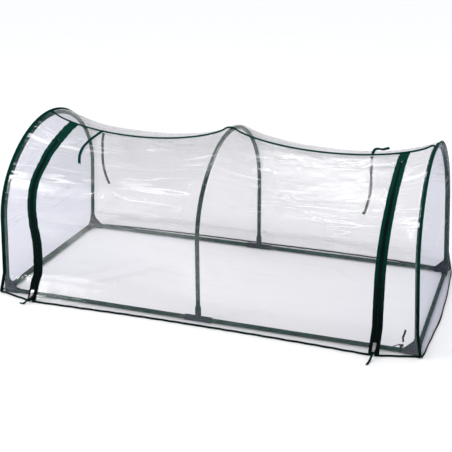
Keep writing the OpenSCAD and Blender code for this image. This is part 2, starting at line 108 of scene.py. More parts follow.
# Routes of the free ribbons and strings.
LEFT_OUTER_TIE = (
    (-0.596, -0.006, 0.652), (-0.600, -0.024, 0.652), (-0.608, -0.060, 0.644), (-0.618, -0.106, 0.633),
    (-0.621, -0.160, 0.618), (-0.614, -0.206, 0.602), (-0.600, -0.243, 0.586), (-0.590, -0.262, 0.577))
LEFT_INNER_TIE = (
    (-0.600, 0.000, 0.640), (-0.603, -0.004, 0.622), (-0.606, -0.006, 0.595), (-0.606, -0.008, 0.565),
    (-0.608, -0.008, 0.530), (-0.608, -0.006, 0.495), (-0.604, -0.002, 0.460), (-0.597, 0.002, 0.428),
    (-0.588, 0.006, 0.400))
RIGHT_OUTER_TIE = (
    (0.611, 0.005, 0.658), (0.614, 0.010, 0.668), (0.620, 0.020, 0.675), (0.631, 0.036, 0.673),
    (0.643, 0.052, 0.667), (0.653, 0.072, 0.665), (0.662, 0.090, 0.664), (0.660, 0.112, 0.658),
    (0.656, 0.134, 0.651))
RIGHT_INNER_TIE = (
    (0.610, 0.000, 0.649), (0.611, -0.004, 0.630), (0.611, -0.006, 0.600), (0.612, -0.006, 0.565),
    (0.613, -0.006, 0.530), (0.611, -0.008, 0.495), (0.607, -0.012, 0.460), (0.600, -0.018, 0.430),
    (0.590, -0.024, 0.402))
LEFT_PULL_RIBBON = (
    (-0.745, -0.495, 0.026), (-0.750, -0.504, 0.019), (-0.757, -0.510, 0.012), (-0.766, -0.513, 0.005),
    (-0.776, -0.511, 0.003), (-0.786, -0.505, 0.003))
RIGHT_PULL_RIBBON = (
    (0.745, -0.495, 0.026), (0.744, -0.506, 0.020), (0.742, -0.518, 0.013), (0.740, -0.530, 0.006),
    (0.737, -0.543, 0.003), (0.734, -0.558, 0.003))
CORNER_TAIL_UP = (
    (0.842, -0.400, 0.039), (0.844, -0.402, 0.048), (0.842, -0.404, 0.058), (0.845, -0.402, 0.070),
    (0.848, -0.400, 0.082), (0.849, -0.398, 0.092))
CORNER_TAIL_SIDE = (
    (0.832, -0.398, 0.026), (0.823, -0.396, 0.021), (0.812, -0.396, 0.015), (0.799, -0.397, 0.009),
    (0.786, -0.398, 0.004), (0.773, -0.398, 0.003))

# ---------------------------------------------------------------- camera


def add_camera():
    """Camera in front, to the right and above, with a long lens."""
    azimuth, elevation, roll = math.radians(19.479), math.radians(21.188), math.radians(-0.274)
    forward = Vector((
        -math.sin(azimuth) * math.cos(elevation),
        math.cos(azimuth) * math.cos(elevation),
        -math.sin(elevation)))
    level_right = forward.cross(Vector((0, 0, 1))).normalized()
    level_up = level_right.cross(forward)
    right = level_right * math.cos(roll) + level_up * math.sin(roll)
    up = right.cross(forward)
    turn = Matrix((right, up, -forward)).transposed()
    camera = bpy.data.cameras.new("camera")
    camera.lens = 77.70
    camera.sensor_width = 36
    body = bpy.data.objects.new("camera", camera)
    body.matrix_world = Matrix.Translation((1.3186, -3.7928, 1.8253)) @ turn.to_4x4()
    bpy.context.collection.objects.link(body)
    bpy.context.scene.camera = body


add_camera()

# ---------------------------------------------------------------- node materials

EVEN = (1, 1, 1)


class Nodes:
    """A material's node tree, with short calls to add and join nodes."""

    def __init__(self, name):
        self.material = bpy.data.materials.new(name)
        self.material.use_nodes = True
        self.tree = self.material.node_tree
        self.tree.nodes.clear()
        self.output = self.add("ShaderNodeOutputMaterial")

    def add(self, kind, settings=None, **inputs):
        """A node, with its properties from settings; a value sets an input, a socket is linked to it."""
        made = self.tree.nodes.new(kind)
        for key, value in (settings or {}).items():
            setattr(made, key, value)
        for key, value in inputs.items():
            self.put(made, key.replace("_", " "), value)
        return made

    def put(self, made, key, value):
        """A name such as Scale, or an index, of the input to set."""
        socket = made.inputs[int(key) if key.isdigit() else key]
        if isinstance(value, bpy.types.NodeSocket):
            self.tree.links.new(value, socket)
        else:
            socket.default_value = value

    def coordinates(self, scale, kind="Object"):
        """Object or UV coordinates in metres, multiplied by scale along each axis."""
        source = self.add("ShaderNodeTexCoord").outputs[kind]
        mapping = self.add("ShaderNodeMapping", Scale=scale)
        self.put(mapping, "Vector", source)
        return mapping.outputs[0]

    def noise(self, vector, scale=1.0, detail=3.0, roughness=0.5):
        made = self.add("ShaderNodeTexNoise", Scale=scale, Detail=detail, Roughness=roughness)
        self.put(made, "Vector", vector)
        return made.outputs[0]

    def wave(self, vector, scale, direction):
        made = self.add("ShaderNodeTexWave", {"bands_direction": direction}, Scale=scale, Distortion=0.0)
        self.put(made, "Vector", vector)
        return made.outputs["Color"]

    def ramp(self, value, low, high, start=0.0, end=1.0):
        """value mapped from low..high to start..end."""
        made = self.add("ShaderNodeMapRange", From_Min=low, From_Max=high, To_Min=start, To_Max=end)
        self.put(made, "Value", value)
        return made.outputs[0]

    def math(self, operation, a, b):
        made = self.add("ShaderNodeMath", {"operation": operation})
        self.put(made, "0", a)
        self.put(made, "1", b)
        return made.outputs[0]

    def blend_colours(self, factor, a, b):
        made = self.add("ShaderNodeMix", {"data_type": "RGBA"})
        for socket, value in ((made.inputs[0], factor), (made.inputs[6], a), (made.inputs[7], b)):
            if isinstance(value, bpy.types.NodeSocket):
                self.tree.links.new(value, socket)
            else:
                socket.default_value = value
        return made.outputs[2]

    def bump(self, height, distance, strength=1.0, under=None):
        made = self.add("ShaderNodeBump", Strength=strength, Distance=distance)
        self.put(made, "Height", height)
        if under is not None:
            self.put(made, "Normal", under)
        return made.outputs[0]

    def principled(self, colour, roughness, normal=None, **inputs):
        made = self.add("ShaderNodeBsdfPrincipled", **inputs)
        self.put(made, "Base Color", colour)
        self.put(made, "Roughness", roughness)
        if normal is not None:
            self.put(made, "Normal", normal)
        self.tree.links.new(made.outputs[0], self.output.inputs[0])
        return made


def rgb(red, green, blue):
    """Linear colour from 0..255 display values."""
    shares = (c / 255 for c in (red, green, blue))
    return tuple(((c + 0.055) / 1.055) ** 2.4 if c > 0.04 else c / 12.92 for c in shares) + (1.0,)


def powder_coat():
    """Dark green powder coat: fine orange peel, a little dust and wear."""
    n = Nodes("powder_coat_green")
    place = n.coordinates(EVEN)
    peel = n.noise(place, scale=900, detail=2)
    patches = n.noise(place, scale=14, detail=4)
    colour = n.blend_colours(n.ramp(patches, 0.35, 0.7), rgb(0, 46, 40), rgb(6, 66, 56))
    dust = n.ramp(n.noise(place, scale=160, detail=3), 0.62, 0.75)
    colour = n.blend_colours(n.math("MULTIPLY", dust, 0.06), colour, rgb(130, 168, 156))
    gloss = n.ramp(patches, 0.3, 0.7, 0.22, 0.34)
    n.principled(colour, gloss, n.bump(peel, 0.00012), Specular_IOR_Level=0.22)
    return n.material


def moulded_plastic():
    """Satin grey-blue moulded plastic with a fine spark grain and faint flow marks."""
    n = Nodes("moulded_plastic_blue_grey")
    place = n.coordinates(EVEN)
    grain = n.noise(place, scale=1400, detail=2)
    flow = n.noise(place, scale=35, detail=3)
    colour = n.blend_colours(n.ramp(flow, 0.3, 0.7), rgb(14, 36, 46), rgb(26, 52, 64))
    gloss = n.ramp(flow, 0.3, 0.7, 0.42, 0.55)
    n.principled(colour, gloss, n.bump(grain, 0.0001, 0.7), Specular_IOR_Level=0.25)
    return n.material


def clear_film(name, tint, glare, milk_low, milk_high, crease_highlights):
    """Clear wrinkled film; glare is the most that it mirrors, milk is its white haze, and the last argument
    is the share of painted highlight streaks along its folds.

    The painted highlight streaks along the long folds are thickest near the seam, where the UVs' second
    number is small.
    """
    n = Nodes(name)
    along = n.coordinates((3.0, 26.0, 1.0), "UV")
    fine = n.noise(along, scale=1.6, detail=5, roughness=0.55)
    crumple = n.noise(n.coordinates((16.0, 20.0, 1.0), "UV"), scale=1.0, detail=6, roughness=0.6)
    normal = n.bump(fine, 0.006, 0.8)
    normal = n.bump(crumple, 0.004, 0.6, normal)
    haze = n.noise(n.coordinates((4.0, 4.0, 1.0), "UV"), scale=1.5, detail=4)
    clear = n.add("ShaderNodeBsdfTransparent", Color=tint)
    gloss = n.add("ShaderNodeBsdfGlossy", Color=(1, 1, 1, 1))
    n.put(gloss, "Roughness", n.ramp(haze, 0.3, 0.7, 0.03, 0.08))
    n.put(gloss, "Normal", normal)
    milk = n.add("ShaderNodeBsdfDiffuse", Color=rgb(250, 250, 253))
    n.put(milk, "Normal", normal)
    girth = n.add("ShaderNodeSeparateXYZ")
    n.put(girth, "Vector", n.coordinates(EVEN, "UV"))
    # Painted highlights: white diffuse lines along the folds, strongest near the seam, stand in for the
    # lamps' glints on the film.
    folds = n.noise(n.coordinates((1.1, 10.0, 1.0), "UV"), scale=1.7, detail=2, roughness=0.4)
    off_fold = n.math("SUBTRACT", folds, 0.5)
    crease = n.ramp(n.math("MULTIPLY", off_fold, off_fold), 0.0, 0.0004, crease_highlights, 0.0)
    patches = n.noise(n.coordinates((2.6, 7.0, 1.0), "UV"), scale=1.0, detail=2)
    crease = n.math("MULTIPLY", crease, n.ramp(patches, 0.44, 0.6))
    crease = n.math("MULTIPLY", crease, n.ramp(girth.outputs[1], 0.42, 0.58, 1.0, 0.06))
    skin = n.add("ShaderNodeMixShader")
    n.put(skin, "0", n.math("MAXIMUM", n.ramp(haze, 0.35, 0.75, milk_low, milk_high), crease))
    n.put(skin, "1", clear.outputs[0])
    n.put(skin, "2", milk.outputs[0])
    fresnel = n.add("ShaderNodeFresnel", IOR=1.38)
    n.put(fresnel, "Normal", normal)
    whole = n.add("ShaderNodeMixShader")
    n.put(whole, "0", n.math("MINIMUM", fresnel.outputs[0], glare))
    n.put(whole, "1", skin.outputs[0])
    n.put(whole, "2", gloss.outputs[0])
    n.tree.links.new(whole.outputs[0], n.output.inputs[0])
    return n.material


def woven(name, low, high, warp, weft, shaded_edge=0.0):
    """Woven tape: threads per metre across its UVs, with painted shade: darker towards the ground and along
    its first edge.
    """
    n = Nodes(name)
    place = n.coordinates(EVEN, "UV")
    across = n.wave(place, warp / math.tau, "Y")
    down = n.wave(place, weft / math.tau, "X")
    threads = n.math("MAXIMUM", across, down)
    body = n.coordinates(EVEN)
    height = n.add("ShaderNodeSeparateXYZ")
    n.put(height, "Vector", body)
    fade = n.noise(body, scale=18, detail=4)
    # Painted shade: low is the shaded colour near the ground and high the lit colour at the top; the noise
    # adds random tone.
    share = n.math("ADD", n.ramp(height.outputs[2], 0.12, 0.62), n.ramp(fade, 0.3, 0.7, -0.15, 0.15))
    colour = n.blend_colours(n.math("MAXIMUM", n.math("MINIMUM", share, 1.0), 0.0), low, high)
    colour = n.blend_colours(n.math("MULTIPLY", threads, 0.15), colour, high)
    # Painted shade along the tape's first edge, beside the coil, from the ground up, fading out towards the
    # top of the zip.
    if shaded_edge:
        side = n.add("ShaderNodeSeparateXYZ")
        n.put(side, "Vector", place)
        shade = n.math("MULTIPLY", n.ramp(side.outputs[0], 0.0, shaded_edge, 0.9, 0.0),
                       n.ramp(height.outputs[2], 0.55, 0.66, 1.0, 0.0))
        colour = n.blend_colours(shade, colour, low)
    n.principled(colour, n.ramp(fade, 0.3, 0.7, 0.7, 0.85), n.bump(threads, 0.0003), Specular_IOR_Level=0.05)
    return n.material


def nylon_coil():
    """Near-black nylon with the fine ribs of a closed zip coil."""
    n = Nodes("nylon_zip_coil")
    ribs = n.wave(n.coordinates(EVEN, "UV"), 80, "X")
    wear = n.noise(n.coordinates(EVEN), scale=60, detail=3)
    colour = n.blend_colours(n.ramp(wear, 0.4, 0.7), rgb(0, 4, 5), rgb(0, 13, 13))
    n.principled(colour, n.ramp(ribs, 0, 1, 0.3, 0.5), n.bump(ribs, 0.0003), Specular_IOR_Level=0.12)
    return n.material


def plated_metal():
    """Bright plated die casting with fine rub marks and duller patches."""
    n = Nodes("plated_zip_metal")
    place = n.coordinates(EVEN)
    rubs = n.noise(n.coordinates((400, 60, 400)), scale=4, detail=3)
    dull = n.noise(place, scale=220, detail=3)
    colour = n.blend_colours(n.ramp(dull, 0.4, 0.7), rgb(214, 208, 210), rgb(172, 166, 168))
    n.principled(colour, n.ramp(rubs, 0.3, 0.7, 0.16, 0.34), n.bump(rubs, 0.00005), Metallic=1.0)
    return n.material


def floor_material():
    """Matt white paper with a hardly visible mottle."""
    n = Nodes("pale_floor")
    speck = n.noise(n.coordinates(EVEN), scale=3, detail=3)
    n.principled(n.blend_colours(speck, (0.96, 0.96, 0.96, 1), (0.98, 0.98, 0.98, 1)), 0.9)
    return n.material


COAT = powder_coat()
PLASTIC = moulded_plastic()
# The last number of each film is its share of painted highlight streaks along the folds.
COVER_FILM = clear_film("clear_film", (0.936, 0.934, 0.942, 1), 0.2, 0.004, 0.016, 0.55)
STRIP_FILM = clear_film("clear_film_strip", (0.955, 0.953, 0.962, 1), 0.03, 0.001, 0.004, 0.5)
END_FILM = clear_film("clear_film_end", (0.869, 0.873, 0.908, 1), 0.012, 0.002, 0.005, 0.15)
# In each woven colour pair the first is painted shade for the parts near the ground, the second the lit
# colour.
BINDING = woven("woven_binding", rgb(0, 15, 15), rgb(0, 54, 45), 1500, 900)
ZIP_TAPE = woven("woven_zip_tape", rgb(0, 3, 4), rgb(0, 54, 45), 1800, 1100, 0.009)
RIBBON = woven("woven_ribbon", rgb(0, 26, 23), rgb(0, 52, 43), 1200, 1600)
COIL = nylon_coil()
METAL = plated_metal()
STITCH = woven("sewing_thread", rgb(4, 48, 40), rgb(10, 84, 68), 4000, 2500)

# ---------------------------------------------------------------- mesh builders


def new_piece(name, points, faces, material, uvs=None, smooth=True):
    """Mesh object from points and faces, with one UV pair for each point."""
    mesh = bpy.data.meshes.new(name)
    mesh.from_pydata([tuple(p) for p in points], [], faces)
    if uvs is not None:
        layer = mesh.uv_layers.new(name="metres")
        corners = np.empty(len(mesh.loops), dtype=np.int64)
        mesh.loops.foreach_get("vertex_index", corners)
        layer.data.foreach_set("uv", np.asarray(uvs, float)[corners].ravel())
    mesh.polygons.foreach_set("use_smooth", [smooth] * len(mesh.polygons))
    mesh.materials.append(material)
    mesh.update()
    piece = bpy.data.objects.new(name, mesh)
    bpy.context.collection.objects.link(piece)
    return piece


def lengths_along(points):
    """Distance from the first point to each point of a line."""
    steps = np.linalg.norm(np.diff(points, axis=0), axis=1)
    return np.concatenate(([0.0], np.cumsum(steps)))


def grid_normals(grid):
    """Unit normals of a grid of points, from its own slopes."""
    slope = np.cross(np.gradient(grid, axis=1), np.gradient(grid, axis=0))
    size = np.linalg.norm(slope, axis=2, keepdims=True)
    return slope / np.maximum(size, 1e-12)


def thick_sheet(name, grid, thickness, material):
    """Closed sheet of even thickness about a grid of middle points, with UVs in metres along it."""
    rows, columns = grid.shape[:2]
    out = grid_normals(grid) * thickness / 2
    points = np.concatenate(((grid + out).reshape(-1, 3), (grid - out).reshape(-1, 3)))
    across = lengths_along(grid[rows // 2])
    down = lengths_along(grid[:, columns // 2])
    uv = np.stack(np.broadcast_arrays(across[None, :], down[:, None]), axis=2).reshape(-1, 2)
    half = rows * columns
    faces = []
    for r in range(rows - 1):
        for c in range(columns - 1):
            a = r * columns + c
            b = a + columns
            faces.append((a, a + 1, b + 1, b))
            faces.append((half + a, half + b, half + b + 1, half + a + 1))
    rim = list(range(columns))
    rim += [r * columns + columns - 1 for r in range(1, rows)]
    rim += [(rows - 1) * columns + c for c in range(columns - 2, -1, -1)]
    rim += [r * columns for r in range(rows - 2, 0, -1)]
    for a, b in zip(rim, rim[1:] + rim[:1]):
        faces.append((b, a, half + a, half + b))
    return new_piece(name, points, [f[::-1] for f in faces], material, np.concatenate((uv, uv)))


def swept(name, rings, material):
    """Closed solid through rings of points, with UVs in metres along and round it."""
    rings = np.asarray(rings, float)
    count, sides = rings.shape[:2]
    faces = []
    for r in range(count - 1):
        for s in range(sides):
            a, b = r * sides + s, r * sides + (s + 1) % sides
            faces.append((a, b, b + sides, a + sides))
    faces.append(tuple(range(sides - 1, -1, -1)))
    faces.append(tuple(range((count - 1) * sides, count * sides)))
    along = lengths_along(rings.mean(axis=1))
    around = lengths_along(rings[0])
    uv = np.stack(np.broadcast_arrays(along[:, None], around[None, :]), axis=2).reshape(-1, 2)
    turned = rings[0] - rings[0].mean(axis=0)
    area = sum((np.cross(turned[s], turned[(s + 1) % sides]) for s in range(sides)), np.zeros(3))
    if np.dot(area, rings[1].mean(axis=0) - rings[0].mean(axis=0)) < 0:
        faces = [f[::-1] for f in faces]
    return new_piece(name, rings.reshape(-1, 3), faces, material, uv)


def rounded_profile(width, thickness, steps=3):
    """Points of a flat strip's section with round edges, as (across, up)."""
    r = thickness / 2
    points = []
    for side, start in ((1, -90), (-1, 90)):
        for k in range(steps + 1):
            a = math.radians(start + 180 * k / steps)
            points.append((side * (width / 2 - r) + r * math.cos(a), r * math.sin(a)))
    return points


def smooth_route(points, per_span):
    """Catmull-Rom curve through the points."""
    points = np.asarray(points, float)
    padded = np.concatenate((2 * points[:1] - points[1:2], points, 2 * points[-1:] - points[-2:-1]))
    out = []
    for i in range(1, len(padded) - 2):
        p0, p1, p2, p3 = padded[i - 1:i + 3]
        for k in range(per_span):
            t = k / per_span
            out.append(0.5 * (2 * p1 + (p2 - p0) * t + (2 * p0 - 5 * p1 + 4 * p2 - p3) * t ** 2
                              + (3 * p1 - p0 - 3 * p2 + p3) * t ** 3))
    out.append(padded[-2])
    return np.array(out)


def strip_along(name, route, across, width, thickness, material):
    """Flat strip with round edges swept along a route, its width towards across."""
    route = np.asarray(route, float)
    ahead = np.gradient(route, axis=0)
    ahead /= np.linalg.norm(ahead, axis=1, keepdims=True)
    across = np.broadcast_to(np.asarray(across, float), route.shape)
    up = np.cross(ahead, across)
    up /= np.linalg.norm(up, axis=1, keepdims=True)
    wide = np.cross(up, ahead)
    section = rounded_profile(width, thickness)
    rings = [[p + w * a + u * b for a, b in section] for p, w, u in zip(route, wide, up)]
    return swept(name, rings, material)


# ---------------------------------------------------------------- free ribbons and strings


def free_ribbon(name, node, route, width, across, body):
    """A ribbon that hangs or lies free; body is None where it is blended."""
    path = smooth_route(route, 5)
    piece = strip_along(name, path, across, width, RIBBON_T, RIBBON)
    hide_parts(node)
    if body:
        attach(piece, body)
    return piece


ALONG_X = (1, 0, 0)
ALONG_Y = (0, 1, 0)
RIBBON_T = 0.0012
TIE_WIDTH = 0.012
TAIL_WIDTH = 0.008
PULL_RIBBON_WIDTH = 0.009

free_ribbon("left_inner_tie_ribbon", "left_inner_tie", LEFT_INNER_TIE, TIE_WIDTH, ALONG_X, "frame")
free_ribbon("right_inner_tie_ribbon", "right_inner_tie", RIGHT_INNER_TIE, TIE_WIDTH, ALONG_X, "frame")
free_ribbon("right_outer_tie_ribbon", "right_outer_tie", RIGHT_OUTER_TIE, TIE_WIDTH, (-1, 0.6, 1), "frame")
door_tie = free_ribbon("left_outer_tie_ribbon", "left_outer_tie", LEFT_OUTER_TIE, TIE_WIDTH, (1, 0, -0.4),
                       None)
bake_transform(door_tie)
free_ribbon("left_pull_ribbon_woven", "left_pull_ribbon", LEFT_PULL_RIBBON, PULL_RIBBON_WIDTH, ALONG_X,
            "left_pull")
free_ribbon("right_pull_ribbon_woven", "right_pull_ribbon", RIGHT_PULL_RIBBON, PULL_RIBBON_WIDTH, ALONG_X,
            "right_pull")
free_ribbon("corner_tail_up_ribbon", "corner_tie_tail_up", CORNER_TAIL_UP, TAIL_WIDTH, ALONG_X, "frame")
free_ribbon("corner_tail_side_ribbon", "corner_tie_tail_side", CORNER_TAIL_SIDE, TAIL_WIDTH, ALONG_Y, "frame")

# ---------------------------------------------------------------- shape of the cover


def smoothstep(value, low, high):
    """0 below low and 1 above high, with a smooth rise between."""
    t = min(1.0, max(0.0, (value - low) / (high - low)))
    return t * t * (3 - 2 * t)


def table_slope(table, i):
    """Slope of the curve at a point of its table, level at the ends."""
    if i == 0 or i == len(table) - 1:
        return 0.0
    return (table[i + 1][1] - table[i - 1][1]) / (table[i + 1][0] - table[i - 1][0])


def curve_through(value, table):
    """Smooth curve through the table's points, level beyond its ends."""
    if value <= table[0][0]:
        return table[0][1]
    for i in range(len(table) - 1):
        (x0, y0), (x1, y1) = table[i], table[i + 1]
        if value <= x1:
            w = x1 - x0
            t = (value - x0) / w
            start_slope, end_slope = table_slope(table, i), table_slope(table, i + 1)
            return (y0 * (2 * t ** 3 - 3 * t ** 2 + 1) + start_slope * w * (t ** 3 - 2 * t ** 2 + t)
                    + y1 * (3 * t ** 2 - 2 * t ** 3) + end_slope * w * (t ** 3 - t ** 2))
    return table[-1][1]


def station(girth):
    """Normal (y, z), y, height above the rails and share of the skirt's flare, at a girth angle."""
    if girth <= 90:
        ny, nz = math.sin(math.radians(girth)), math.cos(math.radians(girth))
        if girth <= CROWN_ANGLE:
            return ny, nz, CROWN_R * ny, CROWN_Z + CROWN_R * nz, 0.0
        return ny, nz, SHOULDER_Y + SHOULDER_R * ny, SPRING + SHOULDER_R * nz, 0.0
    h = SPRING * (180 - girth) / 90
    return 1.0, 0.0, HALF_WIDTH, h, max(0.0, (SKIRT - h) / (SKIRT - HEM_Z))


HEM_GIRTH = 180 - 90 * HEM_Z / SPRING


def bay_shape(u):
    """0 over a hoop and 1 midway between two hoops."""
    c = max(0.0, min(1.0, (min(abs(u), 1) - HOOP_FLAT) / (1 - 2 * HOOP_FLAT)))
    return (4 * c * (1 - c)) ** SAG_POWER


def hem_out(u, side):
    """How far the hem stands out from the wall at u, which is 0 at the middle hoop and 1 at an end."""
    u = min(1.0, abs(u))
    if side == BACK:
        return HEM_BACK + (HEM_CORNER - HEM_BACK) * u ** 4
    if u < ZIP_U:
        return HEM_MIDDLE + (HEM_ZIP - HEM_MIDDLE) * (u / ZIP_U) ** 2
    return HEM_ZIP + (HEM_CORNER - HEM_ZIP) * (u - ZIP_U) / (1 - ZIP_U)


def girth_rows(first, step):
    """Girth angles from first to the hem, about step metres apart."""
    angles = [first]
    while angles[-1] < HEM_GIRTH:
        radius = CROWN_R if angles[-1] < CROWN_ANGLE else SHOULDER_R
        metres_per_degree = radius * math.pi / 180 if angles[-1] < 90 else SPRING / 90
        angles.append(angles[-1] + step / metres_per_degree)
    return angles[:-1] + [HEM_GIRTH]


def girth_length(girth):
    """Distance from the seam along a hoop, in metres."""
    crown = math.radians(min(girth, CROWN_ANGLE)) * CROWN_R
    shoulder = math.radians(min(max(girth - CROWN_ANGLE, 0), 90 - CROWN_ANGLE)) * SHOULDER_R
    return crown + shoulder + max(girth - 90, 0) / 90 * SPRING


def ripple(*place):
    """Smooth noise from -1 to 1, the same at every run."""
    return noise.noise(Vector(place))


def wrinkle(x, girth, side, u, flare):
    """How far the wrinkled film stands off its smooth shape, outwards, in metres."""
    s = girth_length(girth)
    hoop = abs(abs(u) - round(abs(u))) * HALF_LENGTH
    free = smoothstep(hoop, 0.016, 0.06)
    seed = 7.3 * side + (3.1 if x > 0 else 0.0)
    fan = math.sin(2 * math.pi * s / 0.041 + 5 * ripple(s * 6, seed, x * 1.5))
    out = 0.0026 * fan * math.exp(-hoop / 0.11) * free
    out += 0.006 * ripple(x * 3.2, s * 4.5, seed) * free
    out += 0.0035 * ripple(x * 2.6 + s * 3, s * 24, seed + 5) * free
    out += 0.0016 * ripple(x * 9, s * 46 - x * 8, seed + 9) * free
    if side == FRONT:
        to_zip = abs(abs(x) - ZIP_X)
        pucker = math.sin(2 * math.pi * s / 0.023 + 4 * ripple(s * 9, seed + 2, 0.0))
        out += 0.0011 * pucker * math.exp(-to_zip / 0.03) * free
    gather = math.sin(2 * math.pi * x / 0.075 + 6 * ripple(x * 3, seed, 1.0))
    out *= 1 - 0.6 * flare
    out += 0.0010 * gather * flare * free
    return out * smoothstep(s, 0.0, 0.03)


def sag(x, girth, side):
    """How far the film hangs in, midway between the two hoops beside x."""
    return curve_through(girth, SAG[side, LEFT if x < 0 else RIGHT])


def film_point(x, girth, side, off):
    """Point on the cover at x and a girth angle, off from the hoop's axis."""
    ny, nz, y, h, flare = station(girth)
    u = x / (HALF_LENGTH - h * math.sin(LEAN))
    d = off - sag(x, girth, side) * bay_shape(u) + wrinkle(x, girth, side, u, flare)
    return x, side * (y + ny * d + flare * hem_out(u, side)), RAIL_Z + (h + nz * d) * math.cos(LEAN * u)


def edge_x(girth):
    """Where the cover ends along X, just outside the end panel."""
    _, nz, _, h, flare = station(girth)
    return HALF_LENGTH - (h + nz * FILM_IN) * math.sin(LEAN) + FILM_OUT + flare * HEM_CORNER


def even(first, last, step):
    """Evenly spread numbers from first to last, about step apart."""
    count = max(2, round(abs(last - first) / step) + 1)
    return np.linspace(first, last, count)


def cover_sheet(name, node, side, first_girth, span, material):
    """Film from the seam to the hem; span(girth) gives its first and last x."""
    rows = girth_rows(first_girth, STEP)
    columns = len(even(*span(90), STEP))
    grid = np.array([
        [film_point(x, g, side, FILM_MID) for x in np.linspace(*span(g), columns)]
        for g in rows])
    piece = thick_sheet(name, grid, FILM_T, material)
    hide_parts(node)
    return piece


def seam_angle(gap):
    """Girth angle of a film edge that lies gap metres from the crown."""
    return math.degrees(math.asin(gap / CROWN_R))


STEP = 0.011
door_half = ZIP_X - ZIP_GAP
strip_start = ZIP_X + ZIP_GAP
roof = cover_sheet("roof_and_back_film", "roof_and_back_panel", BACK, seam_angle(SEAM_HALF),
                   lambda g: (-edge_x(g), edge_x(g)), COVER_FILM)
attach(roof, "frame")
door = cover_sheet("door_film", "door_panel", FRONT, seam_angle(FRONT_GAP),
                   lambda g: (-door_half, door_half), COVER_FILM)
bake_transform(door)
strips = {}
for sign, side_name in SIDES:
    strips[sign] = cover_sheet(
        f"front_strip_{side_name}_film", f"front_strip_{side_name}", FRONT, seam_angle(FRONT_GAP),
        lambda g, sign=sign: (sign * strip_start, sign * edge_x(g)), STRIP_FILM)
    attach(strips[sign], "frame")


def end_out(sign, c):
    """How far an end panel's hem stands out: most in the middle, least at the corners."""
    return HEM_END[sign] + (HEM_CORNER - HEM_END[sign]) * c * c


def end_point(sign, c, girth, off):
    """Point on an end panel: c runs from -1 at the front to 1 at the back."""
    ny, nz, y, h, flare = station(girth)
    inside = FILM_IN - PANEL_INSET
    outline_y = y + ny * inside + flare * HEM_CORNER
    outline_h = h + nz * inside
    free = smoothstep(outline_y * (1 - abs(c)), 0.012, 0.07) * smoothstep(outline_h + 0.02, 0.02, 0.05)
    bulge = -0.006 * ripple(c * outline_y * 5, outline_h * 4, 3.0 * sign)
    crease = 0.0030 * math.sin(2 * math.pi * outline_h / 0.032 + 5 * ripple(c * 2.5, outline_h * 5, 8.0))
    crease *= math.exp(-((outline_h - 0.05) / 0.05) ** 2) * smoothstep(1 - abs(c), 0.0, 0.12)
    fine = 0.0022 * ripple(c * outline_y * 8 + outline_h * 6, outline_h * 16, 4.0 + sign)
    out = off + flare * (end_out(sign, c) + crease) + (bulge + fine) * free
    x = sign * (HALF_LENGTH - outline_h * math.sin(LEAN) + out)
    return x, c * outline_y, RAIL_Z + outline_h * math.cos(LEAN)


def end_sheet(sign, side_name):
    """Flat film inside an end hoop, down to its flared hem."""
    rows = girth_rows(2.0, STEP)
    columns = np.linspace(-1, 1, 81)
    grid = np.array([[end_point(sign, c, g, FILM_MID) for c in columns] for g in rows])
    piece = thick_sheet(f"end_panel_{side_name}_film", grid, FILM_T, END_FILM)
    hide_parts(f"end_panel_{side_name}")
    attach(piece, "frame")
    return piece


ends = {sign: end_sheet(sign, side_name) for sign, side_name in SIDES}

# ---------------------------------------------------------------- bindings, piping and hems


def band(name, node, near, far, thickness=BAND_T, body="frame"):
    """Folded tape between two lines of points, rounded at both edges."""
    near, far = np.asarray(near, float), np.asarray(far, float)
    middle = (near + far) / 2
    width = float(np.linalg.norm(far - near, axis=1).mean())
    piece = strip_along(name, middle, far - near, width, thickness, BINDING)
    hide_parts(node)
    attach(piece, body)
    return piece


BINDING_STEP = 0.012
HEM_STEP = 0.01
STITCH_PITCH = 0.006
STITCH_LENGTH = 0.68 * STITCH_PITCH
STITCH_R = 0.0004
STITCH_SIDES = 6
# A stitch from end to end: share of its length, and share of its radius.
STITCH_SHAPE = ((0.0, 0.45), (0.18, 0.95), (0.5, 1.0), (0.82, 0.95), (1.0, 0.45))


def stitches(name, line, side_step, body="frame"):
    """Row of short stitches along a line, standing off it by side_step."""
    line = np.asarray(line, float) + np.asarray(side_step, float)
    far = lengths_along(line)
    faces, points = [], []
    angles = np.linspace(0, 2 * math.pi, STITCH_SIDES, endpoint=False)
    section = [(math.cos(a), math.sin(a)) for a in angles]
    for start in np.arange(STITCH_PITCH / 2, far[-1] - STITCH_PITCH, STITCH_PITCH):
        a = np.array([np.interp(start, far, line[:, k]) for k in range(3)])
        b = np.array([np.interp(start + STITCH_LENGTH, far, line[:, k]) for k in range(3)])
        ahead = (b - a) / np.linalg.norm(b - a)
        wide = np.cross(ahead, (0.3, 0.2, 0.93))
        wide /= np.linalg.norm(wide)
        up = np.cross(wide, ahead)
        base = len(points)
        for t, r in STITCH_SHAPE:
            centre = a + (b - a) * t
            points += [centre + (wide * c + up * s) * STITCH_R * r for c, s in section]
        for ring in range(base, len(points) - STITCH_SIDES, STITCH_SIDES):
            for k in range(STITCH_SIDES):
                i, j = ring + k, ring + (k + 1) % STITCH_SIDES
                faces.append((i, j, j + STITCH_SIDES, i + STITCH_SIDES))
        faces.append(tuple(range(base + STITCH_SIDES - 1, base - 1, -1)))
        faces.append(tuple(range(len(points) - STITCH_SIDES, len(points))))
    piece = new_piece(name, points, faces, STITCH)
    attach(piece, body)
    return piece


def fin_line(sign, girths, side, off):
    """Middle line of the fin along the cover's end, off from the hoop's axis."""
    line = []
    for g in girths:
        ny, nz, y, h, flare = station(g)
        z = RAIL_Z + (h + nz * off) * math.cos(LEAN)
        line.append((sign * (edge_x(g) - BAND_T / 2), side * (y + ny * off + flare * HEM_CORNER), z))
    return line


